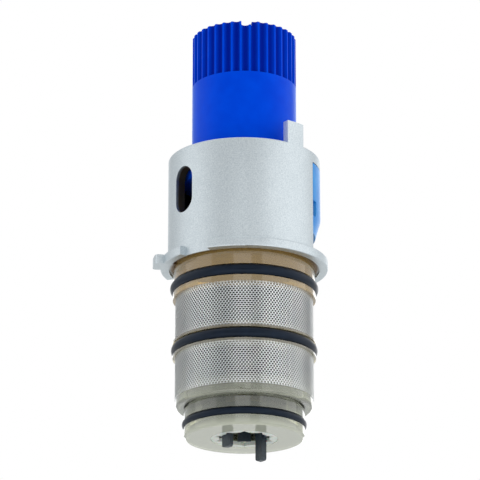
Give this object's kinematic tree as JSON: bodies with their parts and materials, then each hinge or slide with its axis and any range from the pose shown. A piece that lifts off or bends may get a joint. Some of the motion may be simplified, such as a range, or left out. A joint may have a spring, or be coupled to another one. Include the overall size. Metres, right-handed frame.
{
  "type": "thermostatic cartridge",
  "caption": "Thermostatic mixing cartridge: fluted spindle in a flanged metal barrel, clear screened body with round seals, wax capsule and control slide inside, outlet at the foot.",
  "frame": {"origin": "on the cartridge axis, in the plane of the housing flange's underside, which seats on the valve body", "axes": "+Z along the axis towards the fluted handle seat; -Y is the front, between the left window and the right guide slot; +X is the guide slot side"},
  "size_m": [0.0414, 0.0396, 0.1043],
  "materials": {
    "die_cast_metal": "satin die-cast",
    "spindle_plastic": "smooth moulded",
    "nut_plastic": "smooth moulded",
    "insert_brass": "turned",
    "washer_plastic": "moulded",
    "spring_steel": "blued spring steel",
    "coil_steel": "drawn wire",
    "plunger_brass": "turned",
    "retainer_plastic": "moulded",
    "inner_seal_rubber": "moulded",
    "clear_amber_plastic": "clear amber moulding",
    "seal_rubber": "moulded",
    "screen_steel": "perforated sheet",
    "capsule_brass": "drawn and crimped",
    "piston_steel": "ground",
    "slide_plastic": "moulded",
    "spider_plastic": "moulded",
    "ring_plastic": "moulded"
  },
  "bodies": {
    "casing": {"housing": "die_cast_metal", "cartridge_body": "clear_amber_plastic", "end_cap": "clear_amber_plastic", "cold_screen": "screen_steel", "hot_screen": "screen_steel", "upper_body_seal": "seal_rubber", "middle_body_seal": "seal_rubber", "end_cap_seal": "seal_rubber", "seal_retainer": "retainer_plastic", "plunger_seal": "inner_seal_rubber", "flow_spider": "spider_plastic", "outlet_ring": "ring_plastic", "return_spring": "coil_steel"},
    "spindle": {"temperature_spindle": "spindle_plastic", "handle_insert": "insert_brass", "thrust_washer": "washer_plastic"},
    "nut": {"regulating_nut": "nut_plastic", "spring_retainer": "spring_steel", "overtravel_spring": "coil_steel"},
    "plunger": {"overtravel_plunger": "plunger_brass", "capsule_piston": "piston_steel"},
    "slide": {"control_slide": "slide_plastic", "slide_seal": "inner_seal_rubber", "wax_capsule": "capsule_brass"}
  },
  "joints": [
    {"name": "spindle_turn", "type": "hinge", "parent": "casing", "child": "spindle", "pos_m": [0, 0, 0.03], "axis": [0, 0, -1], "range_deg": [0, 270]},
    {"name": "nut_travel", "type": "slide", "parent": "casing", "child": "nut", "axis": [0, 0, -1], "range_m": [0, 0.0045]},
    {"name": "overtravel", "type": "slide", "parent": "nut", "child": "plunger", "axis": [0, 0, 1], "range_m": [0, 0.003], "stiffness_N_per_m": 4000, "springref_m": -0.003, "deforming": ["overtravel_spring"]},
    {"name": "slide_travel", "type": "slide", "parent": "casing", "child": "slide", "axis": [0, 0, 1], "range_m": [-0.00055, 0.00055], "stiffness_N_per_m": 1500, "deforming": ["return_spring"]}
  ],
  "couplings": [
    {"joint": "spindle_turn", "follows": "nut_travel", "rad_per_m": 1047.2}
  ]
}
